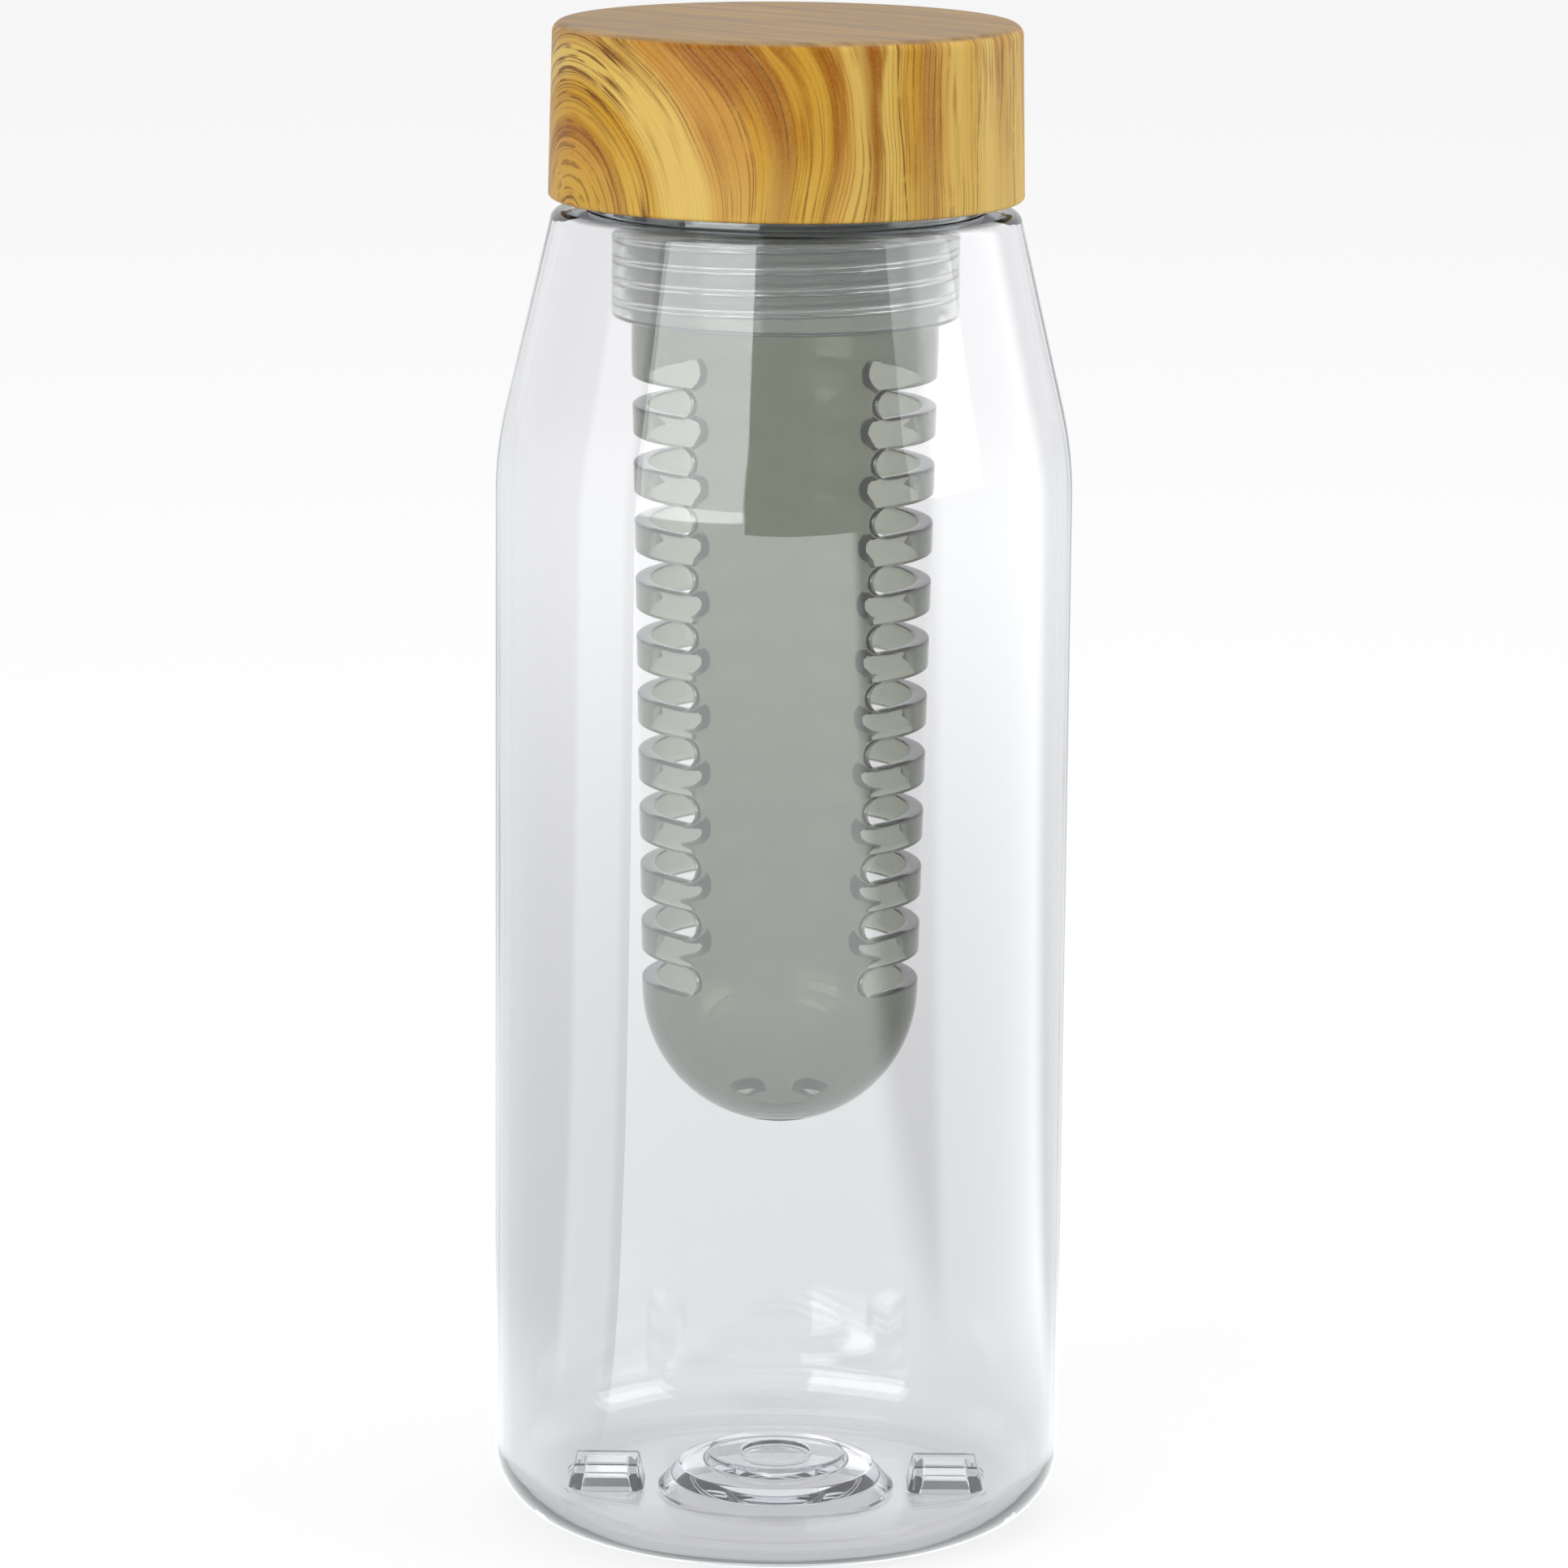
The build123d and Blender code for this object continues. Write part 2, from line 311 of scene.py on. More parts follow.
# Frosted plastic or silicone: part of the light passes, scattered by a rough skin.
def makeMilkyPlastic(name, look):
    material, tree = newMaterial(name)
    skin = addNode(tree, "ShaderNodeGroup", node_tree=mouldSkin)
    for socket, value in (("Fine Scale", look["fineScale"]), ("Wave Scale", look["waveScale"]),
                          ("Rough Low", look["roughLow"]), ("Rough High", look["roughHigh"])):
        skin.inputs[socket].default_value = value
    bump = addNode(tree, "ShaderNodeBump", {
        "Height": skin.outputs["Height"], "Distance": look["grainDepth"], "Strength": look["grainStrength"]})
    shader = addNode(tree, "ShaderNodeBsdfPrincipled", {
        "Base Color": look["colour"], "Roughness": skin.outputs["Roughness"],
        "IOR": look["ior"], "Transmission Weight": look["transmission"], "Normal": bump.outputs["Normal"]})
    addNode(tree, "ShaderNodeOutputMaterial", {"Surface": shader.outputs["BSDF"]})
    return material


woodLook = {
    "pale": paint(238, 199, 104),
    "gold": paint(213, 157, 44),
    "tan": paint(208, 145, 54),
    "band": paint(160, 88, 4),
    "line": paint(104, 46, 4),
    "topPale": paint(188, 154, 106),
    "topTan": paint(145, 111, 70),
    # the rings' course, in metres; a soft step is (low, high, start, end)
    "sideRadius": 0.0312,
    "heart": -0.0347,
    "wander": 0.0022,
    "climb": (-0.014, 0.007, 0.1748, 0.1873),
    "bow": (-0.012, 0.004, 0.92, 1.15),
    "unbow": (0.006, 0.018, 0.0, 0.9),
    # where a tone or a layer begins and ends
    "far": (0.066, 0.072, 0.0, 1.0),
    "paleRight": (0.015, 0.028, 0.0, 0.4),
    "brownHeight": (0.178, 0.199, 0.35, 1.0),
    "paleFoot": (0.177, 0.190, 0.35, 0.0),
    "cornerHeight": (0.187, 0.193, 0.0, 1.0),
    "cornerPlace": (-0.0255, -0.0205, 1.0, 0.0),
    "nearHeart": (0.010, 0.019, 0.6, 0.0),
    # what a noise is made into
    "breaks": (0.3, 0.5, 0.45, 1.0),
    "strokes": (0.54, 0.62, 0.0, 0.85),
    "topStreaks": (0.34, 0.66, 0.0, 1.0),
    "speckle": (0.4, 0.7, 0.0, 0.08),
    "shiftStretch": 0.04,
    "topSlant": (0.67, 0.74),
    "topStretch": 0.08,
    "topFacing": (0.55, 0.85, 0.0, 1.0),
    "strokeStretch": 3.0,
    "strokeWidth": 0.0035,
    # the lacquer
    "ior": 1.48,
    "rough": (0.38, 0.48),
    "sheen": 0.22,
    "grainDepth": 0.00004,
    "grainStrength": 0.35,
}
# The other noises: (scale, detail, roughness).
woodNoise = {
    "wander": (60.0, 1.0),
    "shift": (260.0, 1.0),
    "breaks": (420.0, 2.0),
    "strokes": (420.0, 2.0),
    "topStreaks": (330.0, 4.0, 0.6),
    "speckle": (2600.0, 1.0),
    "grain": (1500.0, 1.0),
}
# Noises drawn out along the rings: (seed, stretch along z, scale, detail, roughness)
# and the soft step that each is made into.
woodLayers = {
    "outer": ((0.0, 0.06, 230.0, 2.0, 0.5), (0.32, 0.52, 0.1, 1.0)),
    "soft": ((0.3, 0.08, 520.0, 3.0, 0.5), (0.35, 0.65, 0.0, 0.22)),
    "brown": ((0.7, 0.1, 420.0, 3.0, 0.6), (0.48, 0.68, 0.0, 0.85)),
    "groups": ((0.5, 0.2, 210.0, 1.0, 0.5), (0.38, 0.6, 0.1, 1.0)),
}
# Thin lines along the rings: how many to a metre, how far a noise pushes them, their
# width as a share of their spacing, seed and strength.
woodLines = {
    "fine": (1500.0, 6.0, 0.2, 0.1, 0.55),
    "coarse": (470.0, 4.0, 0.085, 0.9, 0.9),
}
# Tone of the growth rings from the heart outwards: (distance in mm, tone).
woodTones = [
    (0, "gold"), (6, "gold"), (10, "tan"), (12, "band"), (13.5, "gold"), (17.5, "gold"), (19, "pale"),
    (24, "pale"), (26, "tan"), (30, "tan"), (32, "gold"), (33.8, "band"), (35.4, "band"), (36.5, "gold"),
    (40, "gold"), (41.2, "band"), (42.3, "tan"), (44.5, "pale"), (46.6, "band"), (48, "pale"), (52, "gold"),
    (54.5, "band"), (56, "tan"), (59, "pale"), (62, "gold"), (63.5, "pale"), (67, "pale"), (70, "gold")]


# Wood effect film. Round the side, growth rings are the reach from a heart at the
# film's lower left, reach = sqrt(along^2 + (bow x rise)^2), where along is the way
# round the lid and rise the height. To the right the centre climbs and bow shrinks,
# so that the rings straighten. The top is a film of its own, with straight grain.
def makeWoodEffect():
    look = woodLook
    material, tree = newMaterial("woodEffect")
    maths, ramped = shortForms(tree)

    # A noise from 0 to 1; where the place has two parts, the third is a seed.
    def noise(x, y, z, scale, detail=2.0, roughness=0.5):
        vector = addNode(tree, "ShaderNodeCombineXYZ", {"X": x, "Y": y, "Z": z})
        return addNode(tree, "ShaderNodeTexNoise", {
            "Vector": vector.outputs["Vector"], "Scale": scale, "Detail": detail,
            "Roughness": roughness}).outputs["Fac"]

    # A noise drawn out along the rings, made into a soft step.
    def layer(name):
        (seed, stretch, *grain), step = woodLayers[name]
        return ramped(noise(reach, maths("MULTIPLY", z, stretch), seed, *grain), *step)

    # Lines at even steps of the rings, shifted by a noise.
    def ringLines(name):
        density, push, width, seed, strength = woodLines[name]
        shift = noise(reach, maths("MULTIPLY", z, look["shiftStretch"]), seed, *woodNoise["shift"])
        phase = maths("ADD", maths("MULTIPLY", reach, density), maths("MULTIPLY", shift, push))
        away = maths("ABSOLUTE", maths("SUBTRACT", maths("FRACT", phase), 0.5))
        return maths("MULTIPLY", ramped(away, 0.0, width, 1.0, 0.0), strength)

    def mixed(share, first, second):
        return addNode(tree, "ShaderNodeMix", {0: share, 6: first, 7: second}, data_type="RGBA").outputs[2]

    place = addNode(tree, "ShaderNodeTexCoord").outputs["Object"]
    split = addNode(tree, "ShaderNodeSeparateXYZ", {"Vector": place})
    x, y, z = split.outputs["X"], split.outputs["Y"], split.outputs["Z"]
    around = maths("MULTIPLY", maths("ARCTAN2", x, maths("MULTIPLY", y, -1.0)), look["sideRadius"])
    wander = maths("SUBTRACT", noise(around, z, 0.0, *woodNoise["wander"]), 0.5)
    bow = maths("SUBTRACT", ramped(around, *look["bow"]), ramped(around, *look["unbow"]))
    along = maths("ADD", maths("SUBTRACT", around, look["heart"]), maths("MULTIPLY", wander, look["wander"]))
    rise = maths("MULTIPLY", maths("SUBTRACT", z, ramped(around, *look["climb"])), bow)
    reach = maths("SQRT", maths("ADD", maths("MULTIPLY", along, along), maths("MULTIPLY", rise, rise)))

    last = woodTones[-1][0]
    ramp = addNode(tree, "ShaderNodeValToRGB", {"Fac": maths("MULTIPLY", reach, 1 / (last * mm))})
    stops = ramp.color_ramp.elements
    stops[0].color, stops[1].color = look[woodTones[0][1]], look[woodTones[-1][1]]
    for distance, tone in woodTones[1:-1]:
        stops.new(distance / last).color = look[tone]
    outer = mixed(layer("outer"), look["band"], look["pale"])
    tone = mixed(ramped(reach, *look["far"]), ramp.outputs["Color"], outer)

    tone = mixed(ramped(around, *look["paleRight"]), tone, look["pale"])
    tone = mixed(layer("soft"), tone, look["pale"])
    tone = mixed(maths("MULTIPLY", layer("brown"), ramped(z, *look["brownHeight"])), tone, look["band"])
    tone = mixed(ramped(z, *look["paleFoot"]), tone, look["pale"])

    # dark lines along the rings, in groups and broken up
    breaks = ramped(noise(around, z, 0.5, *woodNoise["breaks"]), *look["breaks"])
    lines = maths("MULTIPLY", maths("MAXIMUM", ringLines("fine"), ringLines("coarse")), layer("groups"))
    tone = mixed(maths("MULTIPLY", lines, breaks), tone, look["line"])

    # short strokes near the heart and in the upper left corner
    bearing = maths("MULTIPLY", maths("ARCTAN2", rise, along), look["strokeWidth"])
    corner = maths("MULTIPLY", ramped(z, *look["cornerHeight"]), ramped(around, *look["cornerPlace"]))
    outwards = maths("MULTIPLY", reach, look["strokeStretch"])
    strokes = ramped(noise(outwards, bearing, 0.2, *woodNoise["strokes"]), *look["strokes"])
    where = maths("MAXIMUM", corner, ramped(reach, *look["nearHeart"]))
    tone = mixed(maths("MULTIPLY", strokes, where), tone, look["line"])

    # the top's streaks, and a fine speckle over all
    less, more = look["topSlant"]
    slant = maths("ADD", maths("MULTIPLY", x, less), maths("MULTIPLY", y, more))
    run = maths("SUBTRACT", maths("MULTIPLY", x, more), maths("MULTIPLY", y, less))
    streaks = noise(slant, maths("MULTIPLY", run, look["topStretch"]), 0.0, *woodNoise["topStreaks"])
    streaks = ramped(streaks, *look["topStreaks"])
    topTone = mixed(streaks, look["topTan"], look["topPale"])
    facing = addNode(tree, "ShaderNodeSeparateXYZ", {
        "Vector": addNode(tree, "ShaderNodeNewGeometry").outputs["Normal"]})
    colour = mixed(ramped(facing.outputs["Z"], *look["topFacing"]), tone, topTone)
    speckle = ramped(noise(x, y, z, *woodNoise["speckle"]), *look["speckle"])
    colour = mixed(speckle, colour, look["pale"])

    bump = addNode(tree, "ShaderNodeBump", {
        "Height": noise(reach, z, 0.0, *woodNoise["grain"]), "Distance": look["grainDepth"],
        "Strength": look["grainStrength"]})
    shader = addNode(tree, "ShaderNodeBsdfPrincipled", {
        "Base Color": colour, "Roughness": ramped(streaks, 0.0, 1.0, *look["rough"]), "IOR": look["ior"],
        "Specular IOR Level": look["sheen"], "Normal": bump.outputs["Normal"]})
    addNode(tree, "ShaderNodeOutputMaterial", {"Surface": shader.outputs["BSDF"]})
    return material


clearPlastic = makeGlassyPlastic("clearPlastic", clearLook)
smokePlastic = makeGlassyPlastic("smokePlastic", smokeLook)
frostedPlastic = makeMilkyPlastic("frostedPlastic", frostLook)
silicone = makeMilkyPlastic("silicone", siliconeLook)
woodEffect = makeWoodEffect()
print("materials made")

bottle = {
    "radius": 38.0, "wall": 2.0, "heel": 8.7, "knee": 144.0, "kneeBend": 50.0,
    "shoulder": 175.7, "shoulderRadius": 30.6, "shoulderBend": 1.6, "ledgeWall": 1.1, "ledgeBend": 0.8,
    "neckBore": 24.0, "neckRadius": 26.0, "neckFootBend": 0.25, "rim": 193.9, "rimBend": 0.6, "floor": 2.6,
    "wallRows": 12, "threadRows": 70, "evenSteps": 36,
    # the shade painted under the lid: begins, is full and ends at these heights from the shoulder
    "shade": (-0.5, -0.1, 0.5),
    # steps of the floor inside and underneath: (radius, height, rounding)
    "innerSteps": [(0, 6.6), (4.55, 6.6, 0.2), (4.55, 7.3, 0.25), (9.25, 7.3, 0.2), (9.25, 6.8, 0.25),
                   (13.15, 5.6, 0.6), (15.75, 2.6, 0.4)],
    "underSteps": [(15.7, 0, 0.4), (13.1, 3.0, 0.6), (9.2, 4.2, 0.25), (9.2, 4.7, 0.2), (4.6, 4.7, 0.25),
                   (4.6, 4.0, 0.2), (0, 4.0)],
    # each of the two pockets is a lump inside over a hollow underneath, both given as
    # (half size, corner, height, softness); the grid is squared up between these radii
    "pocketPlace": 22.9, "flankSlope": 4.7,
    "lump": ((5.05, 4.25), 1.1, 3.4, 1.0), "hollow": ((3.9, 3.1), 0.55, 4.3, 0.8),
    "pocketSpan": (16, 29.25), "squareFrom": (15.9, 17.2), "squareTo": (28.55, 29.2), "squareSide": (6, 9.5),
    # the grid's rings across the pockets, and its steps across half a pocket
    "pocketRings": [29, 28.5, 28.1, 27.95, 27.8, 27.65, 27.5, 27.35, 27.2, 27.05, 26.8, 26.6, 26.4, 26.2, 26,
                    25.8, 25.2, 24.3, 22.9, 21.5, 20.6, 20, 19.8, 19.6, 19.4, 19.2, 19, 18.75, 18.6, 18.45,
                    18.3, 18.15, 18, 17.85, 17.7, 17.3, 16.6],
    "pocketSteps": [0, 0.8, 1.6, 2.1, 2.3, 2.5, 2.7, 2.9, 3.1, 3.3, 3.5, 3.65, 3.8, 3.95, 4.1, 4.25, 4.4,
                    4.7, 5.2, 6],
}
neckScrew = {
    "base": 26.0, "tip": 27.2, "root": 1.9, "crest": 1.1, "pitch": 4.0, "turns": 1.25, "start": 186.9}


# Angles round the bottle: close together where the floor pockets are, counted as
# steps across the pocket, and even elsewhere.
def bottleAngles():
    near = np.arcsin(np.array(bottle["pocketSteps"]) / bottle["pocketPlace"])
    far = np.linspace(near[-1], math.pi / 2, bottle["evenSteps"] + 1)[1:]
    quarter = np.concatenate([near, far])
    half = np.concatenate([quarter, math.pi - quarter[-2::-1]])
    return np.concatenate([half, math.pi + half[1:]])


# Distance inwards from the edge of a rectangle with rounded corners.
def insideDistance(x, y, halfSize, corner):
    offX = np.abs(x) - (halfSize[0] - corner)
    offY = np.abs(y) - (halfSize[1] - corner)
    outside = np.hypot(np.maximum(offX, 0), np.maximum(offY, 0))
    return corner - outside - np.minimum(np.maximum(offX, offY), 0)


# Height of a drafted block: a steep flank up to a flat top, joined by a polynomial
# smooth minimum of the two.
def blockHeight(x, y, halfSize, corner, top, softness):
    inside = insideDistance(x, y, halfSize, corner)
    flank = bottle["flankSlope"] * np.maximum(inside, 0)
    share = np.clip(0.5 + 0.5 * (top - flank) / softness, 0, 1)
    soft = top * (1 - share) + flank * share - softness * share * (1 - share)
    return np.maximum(soft, 0) * (inside > 0)


# The body is one closed surface of revolution: inside from the floor's middle to the
# rim, outside down the neck, shoulder and side, and under the floor to the middle.
# Round each pocket the grid is squared up, and raised as a drafted block.
def makeBottle():
    b = bottle
    slope = math.atan2(b["radius"] - b["shoulderRadius"], b["shoulder"] - b["knee"])
    innerRadius = b["radius"] - b["wall"]
    innerKnee = b["knee"] - b["wall"] * math.tan(slope / 2)
    innerLedge = b["shoulder"] - b["ledgeWall"]
    innerEdge = b["radius"] - (innerLedge - b["knee"]) * math.tan(slope) - b["wall"] / math.cos(slope)
    inside = [
        *b["innerSteps"], *[(ring, b["floor"]) for ring in b["pocketRings"][::-1]],
        (innerRadius, b["floor"], b["heel"] - b["wall"], b["wallRows"]),
        (innerRadius, innerKnee, b["kneeBend"] - b["wall"]), (innerEdge, innerLedge, b["ledgeBend"]),
        (b["neckBore"], innerLedge, b["rimBend"]), (b["neckBore"], b["rim"], b["rimBend"])]
    outside = [
        (b["neckRadius"], b["rim"], b["rimBend"], b["threadRows"]),
        (b["neckRadius"], b["shoulder"], b["neckFootBend"]),
        (b["shoulderRadius"], b["shoulder"], b["shoulderBend"]),
        (b["radius"], b["knee"], b["kneeBend"], b["wallRows"]), (b["radius"], 0, b["heel"]),
        *[(ring, 0) for ring in b["pocketRings"]], *b["underSteps"]]
    profile = roundedProfile(inside + outside, arcSteps=8)
    angles = bottleAngles()
    grid = screwGrid(turnedGrid(profile, angles), **neckScrew)
    x, y, z = grid[..., 0], grid[..., 1], grid[..., 2]
    radius = profile[:, :1] * np.ones_like(x)
    nearest, farthest = b["pocketSpan"]
    nearPocket = (radius > nearest) & (radius < farthest)
    onLevel = 0.01
    above = (np.abs(z - b["floor"]) < onLevel) & nearPocket
    below = (np.abs(z) < onLevel) & nearPocket
    across = b["pocketPlace"] * np.sin(angles) * np.ones_like(x)
    square = (1 - smoothStep(*b["squareSide"], np.abs(across))) * (above | below)
    square = square * smoothStep(*b["squareFrom"], radius) * (1 - smoothStep(*b["squareTo"], radius))
    x = x * (1 - square) + np.sign(np.cos(angles)) * radius * square
    y = y * (1 - square) + across * square
    along = np.abs(x) - b["pocketPlace"]
    lift = blockHeight(along, y, *b["lump"]) * above + blockHeight(along, y, *b["hollow"]) * below
    grid = np.stack([x, y, z + lift], axis=-1)
    return surfaceObject("clearBody", [grid], clearPlastic, "bottle", "bottle_body")


# The shade painted on the ledge under the lid: 1 on the ledge and at the foot of the
# neck, so that the height alone counts.
def paintedLedgeShade(radius, height):
    begins, full, ends = (bottle["shoulder"] + step for step in bottle["shade"])
    return smoothStep(begins, full, height) * (height < ends)


markVertices(makeBottle(), clearLook["paintedShadeMask"], paintedLedgeShade)

lidSteps = 192
lidRound = np.linspace(0, fullTurn, lidSteps + 1)
shell = {
    "topRadius": 30.7, "footRadius": 31.2, "top": 200.2, "foot": 177.3, "bore": 29.0, "roof": 197.3,
    "rebate": 29.6, "rebateTop": 178.95,
    "topBend": 1.5, "footBend": 0.5, "roofBend": 0.4, "rebateBend": 0.1, "mouthBend": 0.15, "steps": 256,
}


# The cover: a cup with a flat roof, open below, with a rebate for the liner's lip.
def makeShell():
    s = shell
    profile = roundedProfile([
        (0, s["roof"]), (s["bore"], s["roof"], s["roofBend"]), (s["bore"], s["rebateTop"], s["rebateBend"]),
        (s["rebate"], s["rebateTop"], s["rebateBend"]), (s["rebate"], s["foot"], s["mouthBend"]),
        (s["footRadius"], s["foot"], s["footBend"]), (s["topRadius"], s["top"], s["topBend"]),
        (0, s["top"])], arcSteps=8)
    grid = turnedGrid(profile, np.linspace(0, fullTurn, s["steps"] + 1))
    surfaceObject("woodLid", [grid], woodEffect, "lid", "lid_shell")


liner = {
    "bore": 27.5, "outer": 28.95, "lip": 29.55, "foot": 177.1, "lipTop": 178.9, "ceiling": 195.5,
    "top": 197.3, "grooveInner": 21.35, "grooveOuter": 22.85, "grooveTop": 196.3, "threadRows": 60,
    "grooveBend": 0.15, "ceilingBend": 0.4, "mouthBend": 0.2, "lipBend": 0.3, "lipTopBend": 0.12,
    "stepBend": 0.1, "topBend": 0.4,
}
linerScrew = {
    "base": 27.5, "tip": 26.3, "root": 1.5, "crest": 0.8, "pitch": 4.0, "turns": 1.0, "start": 184.9}


# The liner: a thinner cup whose inner wall carries the thread, with a lip at its
# mouth and a groove in its ceiling for the socket.
def makeLiner():
    s = liner
    profile = roundedProfile([
        (0, s["ceiling"]), (s["grooveInner"], s["ceiling"], s["grooveBend"]),
        (s["grooveInner"], s["grooveTop"], s["grooveBend"]),
        (s["grooveOuter"], s["grooveTop"], s["grooveBend"]),
        (s["grooveOuter"], s["ceiling"], s["grooveBend"]),
        (s["bore"], s["ceiling"], s["ceilingBend"], s["threadRows"]), (s["bore"], s["foot"], s["mouthBend"]),
        (s["lip"], s["foot"], s["lipBend"]), (s["lip"], s["lipTop"], s["lipTopBend"]),
        (s["outer"], s["lipTop"], s["stepBend"]), (s["outer"], s["top"], s["topBend"]), (0, s["top"])])
    grid = screwGrid(turnedGrid(profile, lidRound), **linerScrew)
    surfaceObject("frostedLiner", [grid], frostedPlastic, "lid", "lid_liner")


hangingSocket = {
    "bore": 21.4, "outer": 22.8, "foot": 161.7, "leadIn": 0.5, "top": 196.3, "webFoot": 176.7,
    "webTop": 178.5, "threadRows": 110, "wallRows": 2,
    "webBend": 0.3, "leadBend": 0.2, "outerBend": 0.5, "topBend": 0.2, "cupBend": 0.5,
}
socketScrew = {
    "base": 21.4, "tip": 20.5, "root": 1.0, "crest": 0.5, "pitch": 2.75, "turns": 4.0, "start": 162.45}


# The socket: a tube closed by a web halfway up, with the basket's thread below it.
def makeSocket():
    s = hangingSocket
    profile = roundedProfile([
        (0, s["webFoot"]), (s["bore"], s["webFoot"], s["webBend"], s["threadRows"]),
        (s["bore"], s["foot"] + s["leadIn"], s["leadBend"]),
        (s["bore"] + s["leadIn"], s["foot"], s["leadBend"]),
        (s["outer"], s["foot"], s["outerBend"], s["wallRows"]), (s["outer"], s["top"], s["topBend"]),
        (s["bore"], s["top"], s["topBend"]), (s["bore"], s["webTop"], s["cupBend"]), (0, s["webTop"])])
    grid = screwGrid(turnedGrid(profile, lidRound), **socketScrew)
    surfaceObject("frostedSocket", [grid], frostedPlastic, "lid", "infuser_socket")


lidSeal = {"inner": 23.1, "outer": 27.2, "bottom": 193.9, "top": 195.5, "bend": 0.3}
basketSeal = {"inner": 18.2, "outer": 20.2, "bottom": 175.7, "top": 176.7, "bend": 0.3}


# A flat ring with rounded edges.
def makeSeal(name, size, body, node):
    inner, outer, bottom, top, bend = size.values()
    middle = (bottom + top) / 2
    profile = roundedProfile([
        (inner, middle), (inner, top, bend), (outer, top, bend), (outer, bottom, bend),
        (inner, bottom, bend), (inner, middle)])
    surfaceObject(name, [turnedGrid(profile, lidRound)], silicone, body, node)


makeShell()
makeLiner()
makeSocket()
makeSeal("lidSeal", lidSeal, "lid_ring", "lid_seal")
makeSeal("basketSeal", basketSeal, "basket_ring", "basket_seal")

basket = {
    "neckRadius": 20.2, "footRadius": 18.4, "wall": 2.0, "rim": 175.7, "rimBend": 0.4,
    "neckBase": 157.7, "threadFoot": 160.0, "domeCentre": 72.0, "neckRows": 6, "threadRows": 90,
    "slots": 11, "slotPitch": 7.68, "topSlot": 151.9, "slotRadius": 1.85,
    "slotHalfSweep": math.radians(53.5), "slotShares": (1.0, 0.45),
    "step": math.radians(2), "cellSteps": 29, "sideRows": 8, "edge": 0.28,
    "drains": 3, "firstDrain": -math.pi / 2, "drainRing": 5.6, "drainRadius": 1.25,
    "drainHalfSweep": math.radians(22), "drainCell": (2.6, 9.0), "drainShares": (1.0, 0.6, 0.25),
    "domeRows": 13, "tipRows": 4, "cutSpan": (0.02, 0.25),
}
basketScrew = {
    "base": 20.2, "tip": 21.05, "root": 1.15, "crest": 0.6, "pitch": 2.75, "turns": 3.0, "start": 163.825}


# Outer radius of the tapered tube at a height: a straight line from neck to foot.
def basketRadius(height):
    share = (height - basket["domeCentre"]) / (basket["neckBase"] - basket["domeCentre"])
    return basket["footRadius"] + (basket["neckRadius"] - basket["footRadius"]) * share


# Layers from the outer skin over a rounded edge and down the cut wall to the inner
# skin. A layer is (share of the way to the cell's border, distance out from the
# hole's edge, depth into the wall).
def edgeLayers(wall, edge, shares, bendSteps=4):
    bend = np.linspace(0, math.pi / 2, bendSteps + 1)
    outer = [(share, edge, 0.0) for share in shares]
    arc = [(0.0, edge * (1 - math.sin(a)), edge * (1 - math.cos(a))) for a in bend]
    inner = [(share, offset, wall - depth) for share, offset, depth in (outer + arc)[::-1]]
    layers = np.array(outer + arc + inner)
    return layers[:, 0, None], layers[:, 1, None], layers[:, 2, None]


# A hole's outline and its cell's border, point for point: along the top, round the
# right-hand end, back along the bottom, and round the left-hand end. The outline is
# given as an angle on the hole's centre line and a swing about that point.
def pairedOutline(straight, runSteps, cellSteps, step, sideRows, low, high):
    onRun = np.arange(-runSteps, runSteps + 1) * step
    top = onRun.copy()
    onRun[0], onRun[-1] = -straight, straight
    bend = np.linspace(math.pi / 2, -math.pi / 2, 2 * (cellSteps - runSteps) + sideRows + 1)[1:-1]
    turn = np.full(bend.size, straight)
    anchor = np.concatenate([onRun, turn, onRun[::-1], -turn, onRun[:1]])
    up = np.full(onRun.size, math.pi / 2)
    swing = np.concatenate([up, bend, -up, bend - math.pi, up[:1]])
    corner = np.arange(runSteps + 1, cellSteps + 1) * step
    side = np.linspace(high, low, sideRows + 1)[1:-1]
    end = np.full(side.size, cellSteps * step)
    angle = np.concatenate([top, corner, end, corner[::-1], top[::-1], -corner, -end, -corner[::-1], top[:1]])
    half = top.size + corner.size
    across = np.concatenate([
        np.full(half, high), side, np.full(corner.size + half, low), side[::-1],
        np.full(corner.size + 1, high)])
    return anchor, swing, angle, across


# One cell of the tube round a side slot.
def slotGrid(centre, low, high, facing):
    b = basket
    straight = b["slotHalfSweep"] - math.asin(b["slotRadius"] / b["footRadius"])
    runSteps = int(straight / b["step"])
    anchor, swing, borderAngle, borderHeight = pairedOutline(
        straight, runSteps, b["cellSteps"], b["step"], b["sideRows"], low, high)
    share, offset, depth = edgeLayers(b["wall"], b["edge"], b["slotShares"])
    reach = b["slotRadius"] + offset
    height = (centre + reach * np.sin(swing)) * (1 - share) + borderHeight * share
    radius = basketRadius(height) - depth
    angle = anchor + np.arcsin(reach * np.cos(swing) / radius)
    angle = angle * (1 - share) + borderAngle * share + facing
    return np.stack([radius * np.cos(angle), radius * np.sin(angle), height], axis=-1)


